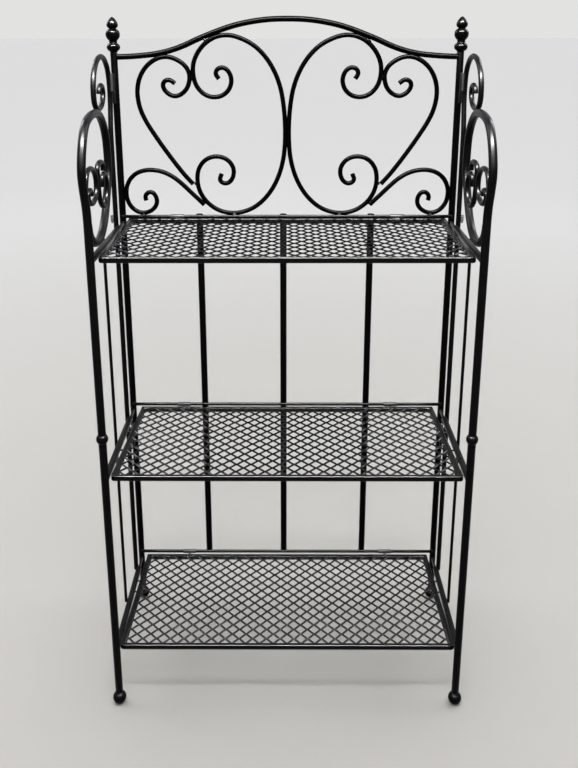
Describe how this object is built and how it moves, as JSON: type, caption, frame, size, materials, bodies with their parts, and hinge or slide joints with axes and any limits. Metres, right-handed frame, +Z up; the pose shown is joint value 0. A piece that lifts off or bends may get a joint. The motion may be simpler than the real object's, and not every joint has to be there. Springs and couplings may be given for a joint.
{
  "type": "folding bakers rack",
  "caption": "Open metal rack with an arched, scrolled back, lift-up mesh shelves and scrolled side frames hinged to the back posts.",
  "frame": {"origin": "on the floor under the centre of the bounding box", "axes": "+Z up, -Y is the front with the open shelves, +X to the right seen from the front"},
  "size_m": [0.6812, 0.336, 1.2638],
  "materials": {
    "frame_paint": "satin black powder coat",
    "mesh_paint": "satin black powder coat on expanded mesh",
    "hinge_paint": "thin satin black paint on folded steel"
  },
  "bodies": {
    "back_frame": {"back_post_left": "frame_paint", "finial_left": "frame_paint", "back_foot_left": "frame_paint", "back_post_right": "frame_paint", "finial_right": "frame_paint", "back_foot_right": "frame_paint", "arch_rail": "frame_paint", "back_bar_left": "frame_paint", "back_bar_centre": "frame_paint", "back_bar_right": "frame_paint", "rear_rail_bottom": "frame_paint", "rear_rail_middle": "frame_paint", "rear_rail_top": "frame_paint", "outer_scroll_left": "frame_paint", "centre_scroll_left": "frame_paint", "lower_scroll_left": "frame_paint", "outer_scroll_right": "frame_paint", "centre_scroll_right": "frame_paint", "lower_scroll_right": "frame_paint", "upper_hinge_post_left": "hinge_paint", "lower_hinge_post_left": "hinge_paint", "upper_hinge_post_right": "hinge_paint", "lower_hinge_post_right": "hinge_paint"},
    "bottom_shelf": {"bottom_shelf_frame": "frame_paint", "bottom_shelf_mesh": "mesh_paint", "bottom_clip_left": "hinge_paint", "bottom_clip_right": "hinge_paint"},
    "middle_shelf": {"middle_shelf_frame": "frame_paint", "middle_shelf_mesh": "mesh_paint", "middle_clip_left": "hinge_paint", "middle_clip_right": "hinge_paint"},
    "top_shelf": {"top_shelf_frame": "frame_paint", "top_shelf_mesh": "mesh_paint", "top_clip_left": "hinge_paint", "top_clip_right": "hinge_paint"},
    "left_side_frame": {"front_post_left": "frame_paint", "front_foot_left": "frame_paint", "post_ball_left": "frame_paint", "bottom_support_left": "frame_paint", "middle_support_left": "frame_paint", "top_support_left": "frame_paint", "mid_rod_left": "frame_paint", "rear_rod_left": "frame_paint", "rear_loop_left": "frame_paint", "ring_strips_left": "frame_paint", "upper_hinge_leaf_left": "hinge_paint", "lower_hinge_leaf_left": "hinge_paint"},
    "right_side_frame": {"front_post_right": "frame_paint", "front_foot_right": "frame_paint", "post_ball_right": "frame_paint", "bottom_support_right": "frame_paint", "middle_support_right": "frame_paint", "top_support_right": "frame_paint", "mid_rod_right": "frame_paint", "rear_rod_right": "frame_paint", "rear_loop_right": "frame_paint", "ring_strips_right": "frame_paint", "upper_hinge_leaf_right": "hinge_paint", "lower_hinge_leaf_right": "hinge_paint"}
  },
  "joints": [
    {"name": "bottom_shelf_lift", "type": "hinge", "parent": "back_frame", "child": "bottom_shelf", "pos_m": [0, 0.14518, 0.1245], "axis": [-1, 0, 0], "range_deg": [0, 88]},
    {"name": "middle_shelf_lift", "type": "hinge", "parent": "back_frame", "child": "middle_shelf", "pos_m": [0, 0.14518, 0.4818], "axis": [-1, 0, 0], "range_deg": [0, 88]},
    {"name": "top_shelf_lift", "type": "hinge", "parent": "back_frame", "child": "top_shelf", "pos_m": [0, 0.14518, 0.8858], "axis": [-1, 0, 0], "range_deg": [0, 88]},
    {"name": "left_side_swing", "type": "hinge", "parent": "back_frame", "child": "left_side_frame", "pos_m": [-0.326, 0.13898, 0], "axis": [0, 0, -1], "range_deg": [0, 90]},
    {"name": "right_side_swing", "type": "hinge", "parent": "back_frame", "child": "right_side_frame", "pos_m": [0.326, 0.13898, 0], "axis": [0, 0, 1], "range_deg": [0, 90]}
  ]
}
